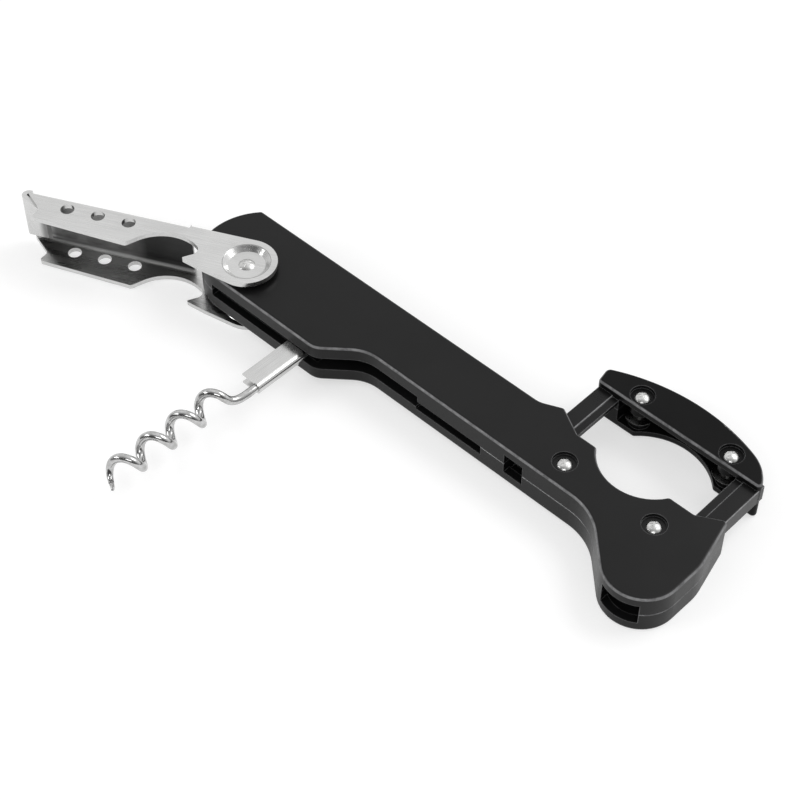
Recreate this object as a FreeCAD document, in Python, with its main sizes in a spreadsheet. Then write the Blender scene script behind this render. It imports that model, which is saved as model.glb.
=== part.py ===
import FreeCAD, Part
import Sketcher
import math
import os
import re

# Folding lever corkscrew with a sprung four-wheel foil cutter in the end of its handle.
# Millimetres.  +X runs along the handle toward the foil cutter, +Y to the side the cutter jaw
# slides out of, +Z up.  The origin is on the worm's pivot axis, in the flat underside of the
# lower shell.

doc = FreeCAD.newDocument("Corkscrew")
sheet = doc.addObject("Spreadsheet::Sheet", "Sizes")
V = FreeCAD.Vector

# Every independent size, once: name, value, what it measures.
DRIVING = [
    # handle heights
    ("body_height", "11.5", "thickness of handle and jaw"),
    ("plate", "2.0", "top and bottom plates"),
    ("wall", "2.2", "side walls"),
    ("edge_radius", "0.7", "rounding of outer edges"),
    ("parting_bevel", "0.15", "bevel at the parting line"),
    ("fit", "0.02", "clearance of fixed parts"),
    ("running_fit", "0.05", "clearance of moving parts"),
    ("bite", "0.5", "how far joined forms of one piece reach into each other"),
    # handle outline
    ("head_front_x", "-43.3", "front end"),
    ("head_near_y", "-7.5", "near edge of the head"),
    ("far_edge_y", "17.2", "far edge of head and neck"),
    ("neck_near_y", "0.7", "near edge of the neck"),
    ("head_radius", "13.0", "near front corner"),
    ("front_radius", "17.3", "far half of the front end"),
    ("shoulder_x", "5.2", "where the head steps in"),
    ("shoulder_run", "9.8", "length of the step"),
    ("shoulder_radius", "5.0", "outer corner of the step"),
    ("step_radius", "10.0", "inner corner of the step"),
    ("lobe_neck_x", "79.5", "where the neck swells into the lobe"),
    ("lobe_neck_radius", "15.6", "hollow before the lobe"),
    ("lobe_x", "103.7", "lobe tip centre"),
    ("lobe_y", "-3.4", "lobe tip centre"),
    ("lobe_radius", "9.5", "lobe tip"),
    ("hip_x", "99.3", "outer hip centre"),
    ("hip_y", "3.5", "outer hip centre"),
    ("hip_radius", "14.0", "outer hip"),
    ("horn_wall", "0.3", "rails to the corner centre right of the opening"),
    ("horn_y", "17.9", "right end of the cutter opening"),
    ("corner_radius", "1.0", "small outer corners"),
    ("ledge_y", "15.6", "edge beside the notch"),
    ("ledge_right_x", "103.1", "end of the right ledge"),
    ("ledge_left_x", "69.0", "end of the left ledge"),
    ("tongue_x", "61.5", "left end of the cutter opening"),
    ("tongue_y", "19.7", "left end of the cutter opening"),
    ("tongue_root_x", "56.0", "where the tongue leaves the far edge"),
    ("tongue_root_radius", "6.0", "hollow under the tongue"),
    # bottle opening and cutter
    ("cutter_x", "85.4", "centre of the bottle opening"),
    ("cutter_y", "21.2", "centre of the bottle opening"),
    ("top_notch_y", "22.0", "centre of the top plate's notch"),
    ("top_notch_radius", "12.4", "notch in the top plate"),
    ("bottom_notch_radius", "16.0", "notch in the bottom plates"),
    ("wheel_side", "13.1", "wheel axes left and right of the centre"),
    ("wheel_near_y", "7.1", "wheel axes in the handle"),
    ("wheel_far_y", "35.4", "wheel axes in the jaw"),
    ("wheel_radius", "3.8", "cutting wheel"),
    ("wheel_disc", "0.7", "cutting wheel thickness"),
    ("wheel_hub_radius", "2.0", "cutting wheel hub"),
    ("wheel_hub_height", "2.9", "cutting wheel hub"),
    ("wheel_level", "4.85", "plane of the wheels"),
    ("pin_radius", "1.25", "wheel and worm pins"),
    ("pin_head_radius", "1.9", "wheel pin heads"),
    ("pin_head_height", "0.8", "wheel pin heads"),
    ("counterbore_radius", "3.0", "recess round the upper pin heads"),
    ("lower_counterbore_radius", "2.1", "recess round the lower pin heads"),
    ("counterbore_depth", "0.9", "recess round the pin heads"),
    ("wheel_boss_radius", "2.6", "bosses that carry the wheels"),
    # handle inside
    ("channel_left_x", "-31.5", "left end of the worm channel"),
    ("channel_back_y", "3.9", "back wall of the worm channel"),
    ("channel_air", "0.3", "air above and below the shank in its slot"),
    ("groove_left_x", "32.0", "where the shank's slot becomes a groove beside the neck"),
    ("groove_right_x", "52.3", "right end of the groove"),
    ("groove_depth", "2.65", "parting plane to the bottom of the groove"),
    ("hollow_left_x", "-36.0", "closed hollow behind the channel"),
    ("hollow_right_x", "50.0", "closed hollow behind the channel"),
    ("hollow_split_x", "7.0", "rib between the closed hollows"),
    ("square_window_left", "59.6", "window beside the neck's end"),
    ("square_window_right", "65.2", "window beside the neck's end"),
    ("lobe_window_left", "99.5", "window in the lobe tip"),
    ("lobe_window_right", "109.3", "window in the lobe tip"),
    ("window_sill", "0.8", "bottom plate to the lower edges of both windows"),
    ("window_head", "0.6", "top plate to the upper edges of both windows"),
    ("hollow_rise", "9.5", "hip centre to the straight wall of the lobe's hollow"),
    ("hollow_overrun", "6.0", "the lobe's hollow past the open edge"),
    ("seat_room", "1.5", "air beyond the spring seats"),
    # rails
    ("rail_inner", "19.2", "inner faces of the rails from the centre"),
    ("rail_outer", "23.5", "outer faces of the rails from the centre"),
    ("rail_height", "4.8", "height of the rails"),
    ("rail_end_y", "10.4", "free ends of the rails"),
    ("rail_edge", "0.3", "rounding along the rails"),
    ("lip_width", "2.0", "lips inside the rails"),
    ("lip_drop", "0.3", "top of the rails to the lips"),
    ("lip_thickness", "1.2", "lips inside the rails"),
    ("lip_end_y", "12.5", "free ends of the lips"),
    ("foot_inner", "18.0", "rail feet inside the jaw"),
    ("foot_outer", "21.5", "rail feet inside the jaw"),
    ("foot_y", "33.5", "rail feet inside the jaw"),
    ("foot_length", "1.9", "rail feet inside the jaw"),
    ("stop_length", "1.6", "stop lugs under the rails"),
    ("stop_inset", "1.0", "stop lugs narrower than the rails, each side"),
    ("stop_air", "1.0", "air under the stop lugs"),
    ("guide_width", "1.5", "guide walls beside the rails"),
    ("guide_y", "11.0", "start of the guide walls"),
    ("seat_y", "5.0", "near face of the spring seats"),
    ("seat_thickness", "1.2", "spring seats"),
    ("bore_radius", "1.45", "spring bores in the rails"),
    ("bore_end_y", "24.0", "bottom of the spring bores"),
    ("spring_radius", "1.3", "outer radius of the springs"),
    ("spring_wire", "0.175", "wire radius of the springs"),
    ("spring_turns", "13", "turns of each spring"),
    # jaw
    ("jaw_front_y", "31.9", "straight edge facing the handle"),
    ("jaw_left_x", "60.9", "left end of the jaw"),
    ("jaw_left_front_x", "61.4", "left end of the straight edge"),
    ("jaw_left_radius", "1.5", "left corner"),
    ("jaw_arc_x", "84.5", "outer arc centre"),
    ("jaw_depth", "10.4", "straight edge to the crest of the outer arc"),
    ("jaw_arc_radius", "51.3", "outer arc"),
    ("jaw_corner_x", "98.0", "right corner centre"),
    ("jaw_corner_radius", "12.4", "right corner"),
    ("wheel_room", "0.3", "air round the wheels in the jaw"),
    ("jaw_travel", "4.0", "how far the jaw can be pressed in"),
    # lever
    ("lever_pivot_x", "-26.0", "lever pivot"),
    ("lever_angle", "26.5", "lever from the line of the handle"),
    ("sheet_metal", "1.3", "thickness of the lever"),
    ("lever_air", "1.3", "air between cheeks and handle"),
    ("ear_radius", "7.8", "round end at the pivot"),
    ("web_start", "18.0", "pivot end of the web"),
    ("web_back", "9.0", "pivot to the outer face of the web"),
    ("web_jog", "0.4", "half the length of the slope from the ears' edges to the web"),
    ("lever_length", "62.8", "far tips of the cheeks"),
    ("bend_radius", "3.0", "bends along the web"),
    ("tip_land", "1.8", "outer face of the web to the far tips"),
    ("notch_depth", "5.6", "far tips to the bottom of the end notch"),
    ("notch_v", "-2.2", "bottom of the end notch"),
    ("near_tip_back", "4.5", "far tips to the near tips of the cheeks"),
    ("near_tip_v", "1.0", "near tips of the cheeks"),
    ("near_edge", "2.6", "near edges of the cheeks at the arch"),
    ("arch_start_u", "32.2", "where the arch begins"),
    ("arch_u", "20.9", "arch centre"),
    ("arch_v", "7.5", "arch centre"),
    ("arch_radius", "11.4", "arch"),
    ("throat_radius", "2.0", "root of the hook"),
    ("throat_angle", "231.7", "direction in which the arch runs into the root of the hook"),
    ("hook_u", "16.2", "hook tip"),
    ("hook_v", "3.6", "hook tip"),
    ("jowl_u", "8.3", "rounding between hook and ear"),
    ("jowl_v", "-2.3", "rounding between hook and ear"),
    ("jowl_radius", "8.0", "rounding between hook and ear"),
    ("hole_radius", "1.8", "three holes in each cheek"),
    ("hole_first_u", "33.5", "first hole"),
    ("last_hole_back", "12.4", "far tips to the last hole"),
    ("hole_v", "-4.3", "line of the holes"),
    ("dish_radius", "6.1", "pressed dish at the pivot"),
    ("dish_slope", "1.4", "width of the dish's slope"),
    ("dish_air", "0.1", "air between dish and handle"),
    ("fold_inner_radius", "0.4", "bend at the end of the web"),
    ("fold_angle", "153.0", "turn of the folded foot"),
    ("fold_length", "8.7", "length of the folded foot"),
    ("fold_drop", "0.9", "outer face of the upper cheek to the foot"),
    ("fold_rise", "3.0", "outer face of the lower cheek to the foot"),
    ("fold_taper", "4.2", "how much narrower the foot is at its free end"),
    ("rivet_radius", "1.6", "lever rivet"),
    ("rivet_head_radius", "2.1", "lever rivet heads"),
    ("rivet_head_height", "0.8", "lever rivet heads"),
    ("rivet_boss_radius", "4.2", "column round the lever rivet"),
    # worm
    ("shank_left_x", "-3.9", "open side of the folded shank"),
    ("shank_top_y", "3.5", "pivot end of the shank"),
    ("shank_end_y", "-22.8", "worm end of the shank"),
    ("shank_sheet", "0.5", "thickness of the shank's sheet"),
    ("shank_corner", "2.2", "corners at the pivot end"),
    ("wire_radius", "1.1", "worm wire"),
    ("wire_x", "0.7", "straight part of the wire"),
    ("wire_start_y", "-2.6", "hidden end of the wire"),
    ("wire_lead", "0.7", "straight wire past the shank"),
    ("worm_axis_x", "-3.4", "axis of the helix"),
    ("worm_radius", "2.7", "helix centre line"),
    ("worm_pitch", "9.3", "one turn of the helix"),
    ("worm_crest_y", "-32.5", "first crest of the helix"),
    ("worm_turns", "3.7", "turns after the first crest"),
    ("point_turns", "0.6", "tapered part of the helix"),
    ("point_radius", "0.18", "tip of the point"),
    ("worm_boss_radius", "3.2", "bosses beside the shank"),
    ("worm_boss_air", "0.25", "air between bosses and shank"),
    ("worm_pin_inset", "0.9", "worm pin in each plate"),
]

# Sizes that follow from the driving ones.
DERIVED = [
    ("parting", "=body_height / 2", "parting plane"),
    ("roof", "=body_height - plate", "underside of the top plate"),
    ("wheel_left_x", "=cutter_x - wheel_side", "left wheel axes"),
    ("wheel_right_x", "=cutter_x + wheel_side", "right wheel axes"),
    ("counterbore_level", "=body_height - counterbore_depth", "seat of the upper pin heads"),
    ("window_low", "=plate + window_sill", "lower edges of both windows"),
    ("window_high", "=roof - window_head", "upper edges of both windows"),
    ("horn_x", "=cutter_x + rail_outer + horn_wall", "right end of the cutter opening"),
    ("jaw_arc_y", "=jaw_front_y + jaw_depth - jaw_arc_radius", "outer arc centre"),
    ("rail_high", "=roof - 2 * running_fit", "top of the rails"),
    ("rail_low", "=rail_high - rail_height", "underside of the rails"),
    ("lip_high", "=rail_high - lip_drop", "top of the lips"),
    ("lip_low", "=lip_high - lip_thickness", "underside of the lips"),
    ("stop_low", "=plate + stop_air", "underside of the stop lugs"),
    ("bore_side", "=(rail_inner + rail_outer) / 2", "spring bores from the centre"),
    ("bore_level", "=(rail_low + rail_high) / 2", "spring bores' height"),
    ("seat_face_y", "=seat_y + seat_thickness", "far face of the spring seats"),
    ("guide_inner", "=rail_inner - running_fit - guide_width", "guide walls from the centre"),
    ("lever_top", "=body_height + lever_air", "inner face of the upper cheek"),
    ("lever_bottom", "=-lever_air", "inner face of the lower cheek"),
    ("lever_low", "=lever_bottom - sheet_metal", "outer face of the lower cheek"),
    ("lever_high", "=lever_top + sheet_metal", "outer face of the upper cheek"),
    ("notch_u", "=lever_length - notch_depth", "bottom of the end notch"),
    ("near_tip_u", "=lever_length - near_tip_back", "near tips of the cheeks"),
    ("hole_pitch", "=(lever_length - last_hole_back - hole_first_u) / 2", "between the holes"),
    ("web_inner", "=web_back - sheet_metal", "inner face of the web"),
    ("inner_bend", "=bend_radius - sheet_metal", "inside of the bends along the web"),
    ("dish_press", "=lever_air - dish_air", "depth of the dish"),
    ("slot_half", "=wire_radius + fit", "half the gap inside the shank"),
    ("shank_half", "=slot_half + shank_sheet", "half the shank's thickness"),
    ("shank_right_x", "=wire_x + shank_half", "folded side of the shank"),
]

row = 0
for name, value, meaning in DRIVING + DERIVED:
    row += 1
    sheet.set("A%d" % row, name)
    sheet.set("B%d" % row, value)
    sheet.set("C%d" % row, meaning)
    sheet.setAlias("B%d" % row, name)
doc.recompute()


class Values:
    pass


size = Values()
for name, value, meaning in DRIVING + DERIVED:
    setattr(size, name, float(sheet.get(name)))


def worth(formula):
    """Present value of a formula over the sheet's names."""
    return float(sheet.evalExpression(formula))


def ref(formula):
    """Turn a formula over the sheet's names into a property expression."""
    return re.sub(r"[a-z]\w*", r"Sizes.\g<0>", formula)


# ---------------------------------------------------------------- outlines


def tangent(first, second):
    """Direction and end points of the line from one circle to the next.

    A circle is (x, y, radius): a positive radius is passed anticlockwise, a negative one
    clockwise, and a radius of zero is a sharp point.
    """
    dx = second[0] - first[0]
    dy = second[1] - first[1]
    ratio = (second[2] - first[2]) / math.hypot(dx, dy)
    angle = math.atan2(dy, dx) - math.asin(max(-1.0, min(1.0, ratio)))
    side = (-math.sin(angle), math.cos(angle))
    start = V(first[0] - first[2] * side[0], first[1] - first[2] * side[1], 0)
    end = V(second[0] - second[2] * side[0], second[1] - second[2] * side[1], 0)
    if start.distanceToPoint(end) < 0.002:
        end = start
    return angle, start, end


def belt(circles):
    """Closed outline that runs round a list of circles like a belt round pulleys."""
    count = len(circles)
    lines = [tangent(circles[i], circles[(i + 1) % count]) for i in range(count)]
    pieces = []
    for i in range(count):
        x, y, radius = circles[i]
        arrive = lines[i - 1]
        leave = lines[i]
        if abs(radius) > 1e-9:
            turn = math.copysign(1.0, radius)
            sweep = (turn * (leave[0] - arrive[0])) % (2 * math.pi)
            middle = arrive[0] - turn * math.pi / 2 + turn * sweep / 2
            via = V(x + abs(radius) * math.cos(middle), y + abs(radius) * math.sin(middle), 0)
            if 1e-6 < sweep < 2 * math.pi - 1e-6:
                pieces.append(Part.Arc(arrive[2], via, leave[1]))
        if leave[1] != leave[2]:
            pieces.append(Part.LineSegment(leave[1], leave[2]))
    return pieces


def corner(before, at, after, radius):
    """Circle that rounds the corner at a point between two straight edges."""
    arrive = math.atan2(at[1] - before[1], at[0] - before[0])
    leave = math.atan2(after[1] - at[1], after[0] - at[0])
    turn = (leave - arrive + math.pi) % (2 * math.pi) - math.pi
    sign = math.copysign(1.0, turn)
    back = radius * math.tan(abs(turn) / 2)
    x = at[0] - back * math.cos(arrive) - sign * radius * math.sin(arrive)
    y = at[1] - back * math.sin(arrive) + sign * radius * math.cos(arrive)
    return (x, y, sign * radius)


def lip(line_y, inward, notch, side):
    """Small circle between a straight edge and a round notch cut into it."""
    radius = size.corner_radius
    y = line_y + inward * radius
    reach = math.sqrt((notch[2] + radius) ** 2 - (y - notch[1]) ** 2)
    return (notch[0] + side * reach, y, radius)


def handle_outline(notch):
    near = size.head_near_y
    far = size.far_edge_y
    step_foot = (size.shoulder_x, near)
    step_head = (size.shoulder_x + size.shoulder_run, size.neck_near_y)
    ledge_right = (size.ledge_right_x, size.ledge_y)
    ledge_left = (size.ledge_left_x, size.ledge_y)
    tongue = (size.tongue_x, size.tongue_y)
    root = (size.tongue_root_x, far)
    front = (size.head_front_x + size.front_radius, near + size.head_radius, size.front_radius)
    rise = far - size.corner_radius - front[1]
    reach = math.sqrt((size.front_radius - size.corner_radius) ** 2 - rise ** 2)
    return [
        (size.head_front_x + size.head_radius, near + size.head_radius, size.head_radius),
        corner((0, near), step_foot, step_head, size.shoulder_radius),
        corner(step_foot, step_head, (size.lobe_neck_x, size.neck_near_y), size.step_radius),
        (size.lobe_neck_x, size.neck_near_y - size.lobe_neck_radius, -size.lobe_neck_radius),
        (size.lobe_x, size.lobe_y, size.lobe_radius),
        (size.hip_x, size.hip_y, size.hip_radius),
        (size.horn_x, size.horn_y, size.corner_radius),
        corner((size.horn_x, size.horn_y + size.corner_radius), ledge_right, ledge_left, 1.5),
        lip(size.ledge_y, -1, notch, 1),
        (notch[0], notch[1], -notch[2]),
        lip(size.ledge_y, -1, notch, -1),
        corner(ledge_right, ledge_left, tongue, size.corner_radius),
        corner(ledge_left, tongue, root, size.corner_radius),
        corner(tongue, root, (0, far), size.tongue_root_radius),
        (front[0] - reach, far - size.corner_radius, size.corner_radius),
        front,
    ]


def lobe_hollow():
    inner = size.wall
    guide = size.cutter_x + size.rail_outer + size.running_fit
    gate = size.cutter_x - size.rail_outer - size.running_fit
    open_y = size.tongue_y + size.hollow_overrun
    shelf = size.seat_face_y + size.seat_room
    neck = size.lobe_neck_radius + inner
    return [
        (size.square_window_left, size.neck_near_y + inner, 0),
        (size.lobe_neck_x, size.neck_near_y - size.lobe_neck_radius, -neck),
        (size.lobe_x, size.lobe_y, size.lobe_radius - inner),
        (size.hip_x, size.hip_y, size.hip_radius - inner),
        (guide, size.hip_y + size.hollow_rise, 0),
        (guide, open_y, 0),
        (gate, open_y, 0),
        (gate, shelf, 0),
        (size.square_window_left, shelf, 0),
    ]


def under_arc(x, inset):
    """Y of a point at x that lies inside the jaw's outer arc by a distance."""
    reach = size.jaw_arc_radius - inset
    return size.jaw_arc_y + math.sqrt(reach ** 2 - (x - size.jaw_arc_x) ** 2)


def jaw_outline(notched):
    front = size.jaw_front_y
    edge = size.corner_radius
    level = front + edge
    left_x = size.jaw_left_x + size.jaw_left_radius
    corner_y = under_arc(size.jaw_corner_x, size.jaw_corner_radius)
    inner = size.jaw_corner_radius - edge
    right_x = size.jaw_corner_x + math.sqrt(inner ** 2 - (level - corner_y) ** 2)
    circles = [(size.jaw_left_front_x + edge, level, edge)]
    if notched:
        notch = (size.cutter_x, size.cutter_y, size.bottom_notch_radius)
        circles += [lip(front, 1, notch, -1), (notch[0], notch[1], -notch[2])]
        circles += [lip(front, 1, notch, 1)]
    circles += [
        (right_x, level, edge),
        (size.jaw_corner_x, corner_y, size.jaw_corner_radius),
        (size.jaw_arc_x, size.jaw_arc_y, size.jaw_arc_radius),
        (left_x, under_arc(left_x, size.jaw_left_radius), size.jaw_left_radius),
    ]
    return circles


def jaw_hollow():
    reach = size.jaw_arc_radius - size.wall
    left = size.wheel_left_x
    right = size.wheel_right_x
    return [
        (left, size.jaw_front_y - 3, 0),
        (right, size.jaw_front_y - 3, 0),
        (right, under_arc(right, size.wall), 0),
        (size.jaw_arc_x, size.jaw_arc_y, reach),
        (left, under_arc(left, size.wall), 0),
    ]


# ---------------------------------------------------------------- features


def new_body(name):
    body = doc.addObject("PartDesign::Body", name)
    body.Label = name
    return body


def attach(feature, body, at, plane="XY_Plane"):
    role = [f for f in body.Origin.OriginFeatures if f.Role == plane][0]
    feature.AttachmentSupport = [(role, "")]
    feature.MapMode = "FlatFace"
    for axis, formula in zip("xyz", at):
        feature.setExpression("AttachmentOffset.Base." + axis, ref(formula))


def draw(body, name, pieces, low, plane="XY_Plane"):
    sketch = body.newObject("Sketcher::SketchObject", name)
    attach(sketch, body, ("0", "0", low), plane)
    for piece in pieces:
        sketch.addGeometry(piece, False)
    sketch.Visibility = False
    return sketch


def add_feature(body, kind, name):
    """New feature; only the last one of a body merges its faces."""
    if body.Tip is not None and hasattr(body.Tip, "Refine"):
        body.Tip.Refine = False
    return body.newObject("PartDesign::" + kind, name)


def pad(body, name, pieces, low, thickness, plane="XY_Plane"):
    feature = add_feature(body, "Pad", name)
    feature.Profile = draw(body, name + "_sketch", pieces, low, plane)
    feature.setExpression("Length", ref(thickness))
    body.Tip = feature
    return feature


def pocket(body, name, pieces, low, thickness, plane="XY_Plane"):
    feature = add_feature(body, "Pocket", name)
    feature.Profile = draw(body, name + "_sketch", pieces, low, plane)
    feature.Reversed = True
    feature.setExpression("Length", ref(thickness))
    body.Tip = feature
    return feature


def box(body, kind, name, x, y, z):
    """Additive or Subtractive box between pairs of formulas."""
    feature = add_feature(body, kind + "Box", name)
    attach(feature, body, (x[0], y[0], z[0]))
    for side, (start, end) in zip(("Length", "Width", "Height"), (x, y, z)):
        feature.setExpression(side, ref("( %s ) - ( %s )" % (end, start)))
    return feature


def sideways(side, near, far):
    """X range given by distances from the centre of the bottle opening, on one side."""
    if side < 0:
        return ("cutter_x - ( %s )" % far, "cutter_x - ( %s )" % near)
    return ("cutter_x + ( %s )" % near, "cutter_x + ( %s )" % far)


def bind(sketch, kind, *link):
    """Constraint whose value is a formula over the sheet."""
    formula = link[-1]
    number = sketch.addConstraint(Sketcher.Constraint(kind, *link[:-1], worth(formula)))
    sketch.setExpression("Constraints[%d]" % number, ref(formula))


def add_rectangle(sketch, x, y):
    first = sketch.GeometryCount
    xs = [worth(formula) for formula in x]
    ys = [worth(formula) for formula in y]
    corners = [V(xs[0], ys[0], 0), V(xs[1], ys[0], 0), V(xs[1], ys[1], 0), V(xs[0], ys[1], 0)]
    for i in range(4):
        sketch.addGeometry(Part.LineSegment(corners[i], corners[(i + 1) % 4]), False)
    for i in range(4):
        following = first + (i + 1) % 4
        sketch.addConstraint(Sketcher.Constraint("Coincident", first + i, 2, following, 1))
        level = "Horizontal" if i % 2 == 0 else "Vertical"
        sketch.addConstraint(Sketcher.Constraint(level, first + i))
    bind(sketch, "DistanceX", -1, 1, first, 1, x[0])
    bind(sketch, "DistanceX", -1, 1, first + 1, 1, x[1])
    bind(sketch, "DistanceY", -1, 1, first, 1, y[0])
    bind(sketch, "DistanceY", -1, 1, first + 2, 1, y[1])


def add_circle(sketch, x, y, radius):
    number = sketch.GeometryCount
    circle = Part.Circle(V(worth(x), worth(y), 0), V(0, 0, 1), worth(radius))
    sketch.addGeometry(circle, False)
    bind(sketch, "Radius", number, radius)
    bind(sketch, "DistanceX", -1, 1, number, 3, x)
    bind(sketch, "DistanceY", -1, 1, number, 3, y)


def prism(body, kind, name, zone, rectangles=(), circles=(), outlines=()):
    """Additive or Subtractive prism of several closed shapes between two levels."""
    sketch = draw(body, name + "_sketch", [], zone[0])
    for x, y in rectangles:
        add_rectangle(sketch, x, y)
    for x, y, radius in circles:
        add_circle(sketch, x, y, radius)
    for pieces in outlines:
        for piece in pieces:
            sketch.addGeometry(piece, False)
    feature = add_feature(body, "Pad" if kind == "Additive" else "Pocket", name)
    feature.Profile = sketch
    if kind == "Subtractive":
        feature.Reversed = True
    feature.setExpression("Length", ref("( %s ) - ( %s )" % (zone[1], zone[0])))
    body.Tip = feature
    return feature


def side_box(body, kind, name, side, across, y, z):
    return box(body, kind, name, sideways(side, *across), y, z)


def cylinder(body, kind, name, at, radius, length, plane="XY_Plane"):
    feature = add_feature(body, kind + "Cylinder", name)
    attach(feature, body, at, plane)
    feature.setExpression("Radius", ref(radius))
    feature.setExpression("Height", ref(length))
    return feature


def column(body, kind, name, x, y, low, high, radius):
    return cylinder(body, kind, name, (x, y, low), radius, "( %s ) - ( %s )" % (high, low))


def cone(body, kind, name, low_radius, high_radius, low, high):
    feature = add_feature(body, kind + "Cone", name)
    attach(feature, body, ("0", "0", low))
    feature.setExpression("Radius1", ref(low_radius))
    feature.setExpression("Radius2", ref(high_radius))
    feature.setExpression("Height", ref("( %s ) - ( %s )" % (high, low)))
    return feature


def edges_at(shape, axis, value):
    """Names of the edges that lie in one plane across X, Y or Z."""
    names = []
    for number, edge in enumerate(shape.Edges):
        bound = edge.BoundBox
        low = {"x": bound.XMin, "y": bound.YMin, "z": bound.ZMin}[axis]
        high = {"x": bound.XMax, "y": bound.YMax, "z": bound.ZMax}[axis]
        if abs(low - value) < 1e-4 and abs(high - value) < 1e-4:
            names.append("Edge%d" % (number + 1))
    return names


def dress(body, kind, name, base, names, amount):
    """Fillet or chamfer the named edges of a feature."""
    feature = add_feature(body, kind, name)
    feature.Base = (base, names)
    feature.setExpression("Radius" if kind == "Fillet" else "Size", ref(amount))
    body.Tip = feature
    return feature


def slab(name, pieces, low, thickness, outer, parting):
    """Half of a moulding: padded outline, rounded outside edge, bevelled parting edge."""
    body = new_body(name)
    block = pad(body, name + "_block", pieces, low, thickness)
    doc.recompute()
    rounded = dress(body, "Fillet", name + "_round", block,
                    edges_at(block.Shape, "z", outer), "edge_radius")
    doc.recompute()
    dress(body, "Chamfer", name + "_bevel", rounded,
          edges_at(rounded.Shape, "z", parting), "parting_bevel")
    return body


def revolve(body, name, pieces):
    feature = add_feature(body, "Revolution", name)
    profile = draw(body, name + "_sketch", pieces, "0", "XZ_Plane")
    feature.Profile = profile
    feature.ReferenceAxis = (profile, ["V_Axis"])
    feature.Angle = 360
    body.Tip = feature
    return feature


def chain(points):
    corners = [V(x, y, 0) for x, y in points]
    return [Part.LineSegment(a, b) for a, b in zip(corners, corners[1:])]


def polygon(points):
    return chain(points + points[:1])


def dome(rim, crown):
    """Arc from a head's rim to the top of its crown on the axis."""
    radius = rim[0]
    rise = crown[1] - rim[1]
    ball = (radius ** 2 + rise ** 2) / (2 * abs(rise))
    centre = crown[1] - math.copysign(ball, rise)
    half = math.asin(radius / ball) / 2
    via = V(ball * math.sin(half), centre + math.copysign(ball * math.cos(half), rise), 0)
    return Part.Arc(V(rim[0], rim[1], 0), via, V(crown[0], crown[1], 0))


def rivet(name, x, y, shank, head, head_height, low, high):
    """Round pin with a domed head at both ends, between two seats."""
    body = new_body(name)
    top = (0, high + head_height)
    bottom = (0, low - head_height)
    pieces = [dome((head, high), top)]
    pieces += [Part.LineSegment(V(*top, 0), V(*bottom, 0))]
    lower = dome((head, low), bottom)
    pieces += [lower]
    for a, b in (((head, low), (shank, low)), ((shank, low), (shank, high)),
                 ((shank, high), (head, high))):
        pieces.append(Part.LineSegment(V(*a, 0), V(*b, 0)))
    revolve(body, name + "_turned", pieces)
    body.setExpression("Placement.Base.x", ref(x))
    body.setExpression("Placement.Base.y", ref(y))
    return body


# ---------------------------------------------------------------- handle shells

TOP = ("parting", "roof")
LOW = ("plate", "parting")
SLOT_TOP = ("parting", "parting + shank_half + channel_air")
SLOT_LOW = ("parting - shank_half - channel_air", "parting")
THROUGH_TOP = ("parting - 1", "body_height + 1")
THROUGH_LOW = ("0 - 1", "parting + 1")
WHEELS = {
    "a": ("wheel_left_x", "wheel_near_y"),
    "b": ("wheel_right_x", "wheel_near_y"),
    "c": ("wheel_left_x", "wheel_far_y"),
    "d": ("wheel_right_x", "wheel_far_y"),
}
SIDES = (-1, 1)


def wheel_mounts(body, tags, upper, bores=()):
    """Bosses and counterbores of two cutting wheels, with their bores and any others."""
    spots = [WHEELS[tag] for tag in tags]
    half_hub = "wheel_hub_height / 2 + running_fit"
    bosses = [(x, y, "wheel_boss_radius") for x, y in spots]
    bores = list(bores) + [(x, y, "pin_radius + fit") for x, y in spots]
    if upper:
        sinks = [(x, y, "counterbore_radius") for x, y in spots]
        boss_zone = ("wheel_level + " + half_hub, "roof")
        sink_zone = ("counterbore_level", "body_height + 1")
        bore_zone = THROUGH_TOP
    else:
        sinks = [(x, y, "lower_counterbore_radius") for x, y in spots]
        boss_zone = ("plate", "wheel_level - ( %s )" % half_hub)
        sink_zone = ("0 - 1", "counterbore_depth")
        bore_zone = THROUGH_LOW
    prism(body, "Additive", body.Label + "_bosses", boss_zone, circles=bosses)
    prism(body, "Subtractive", body.Label + "_sinks", sink_zone, circles=sinks)
    prism(body, "Subtractive", body.Label + "_bores", bore_zone, circles=bores)


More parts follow.
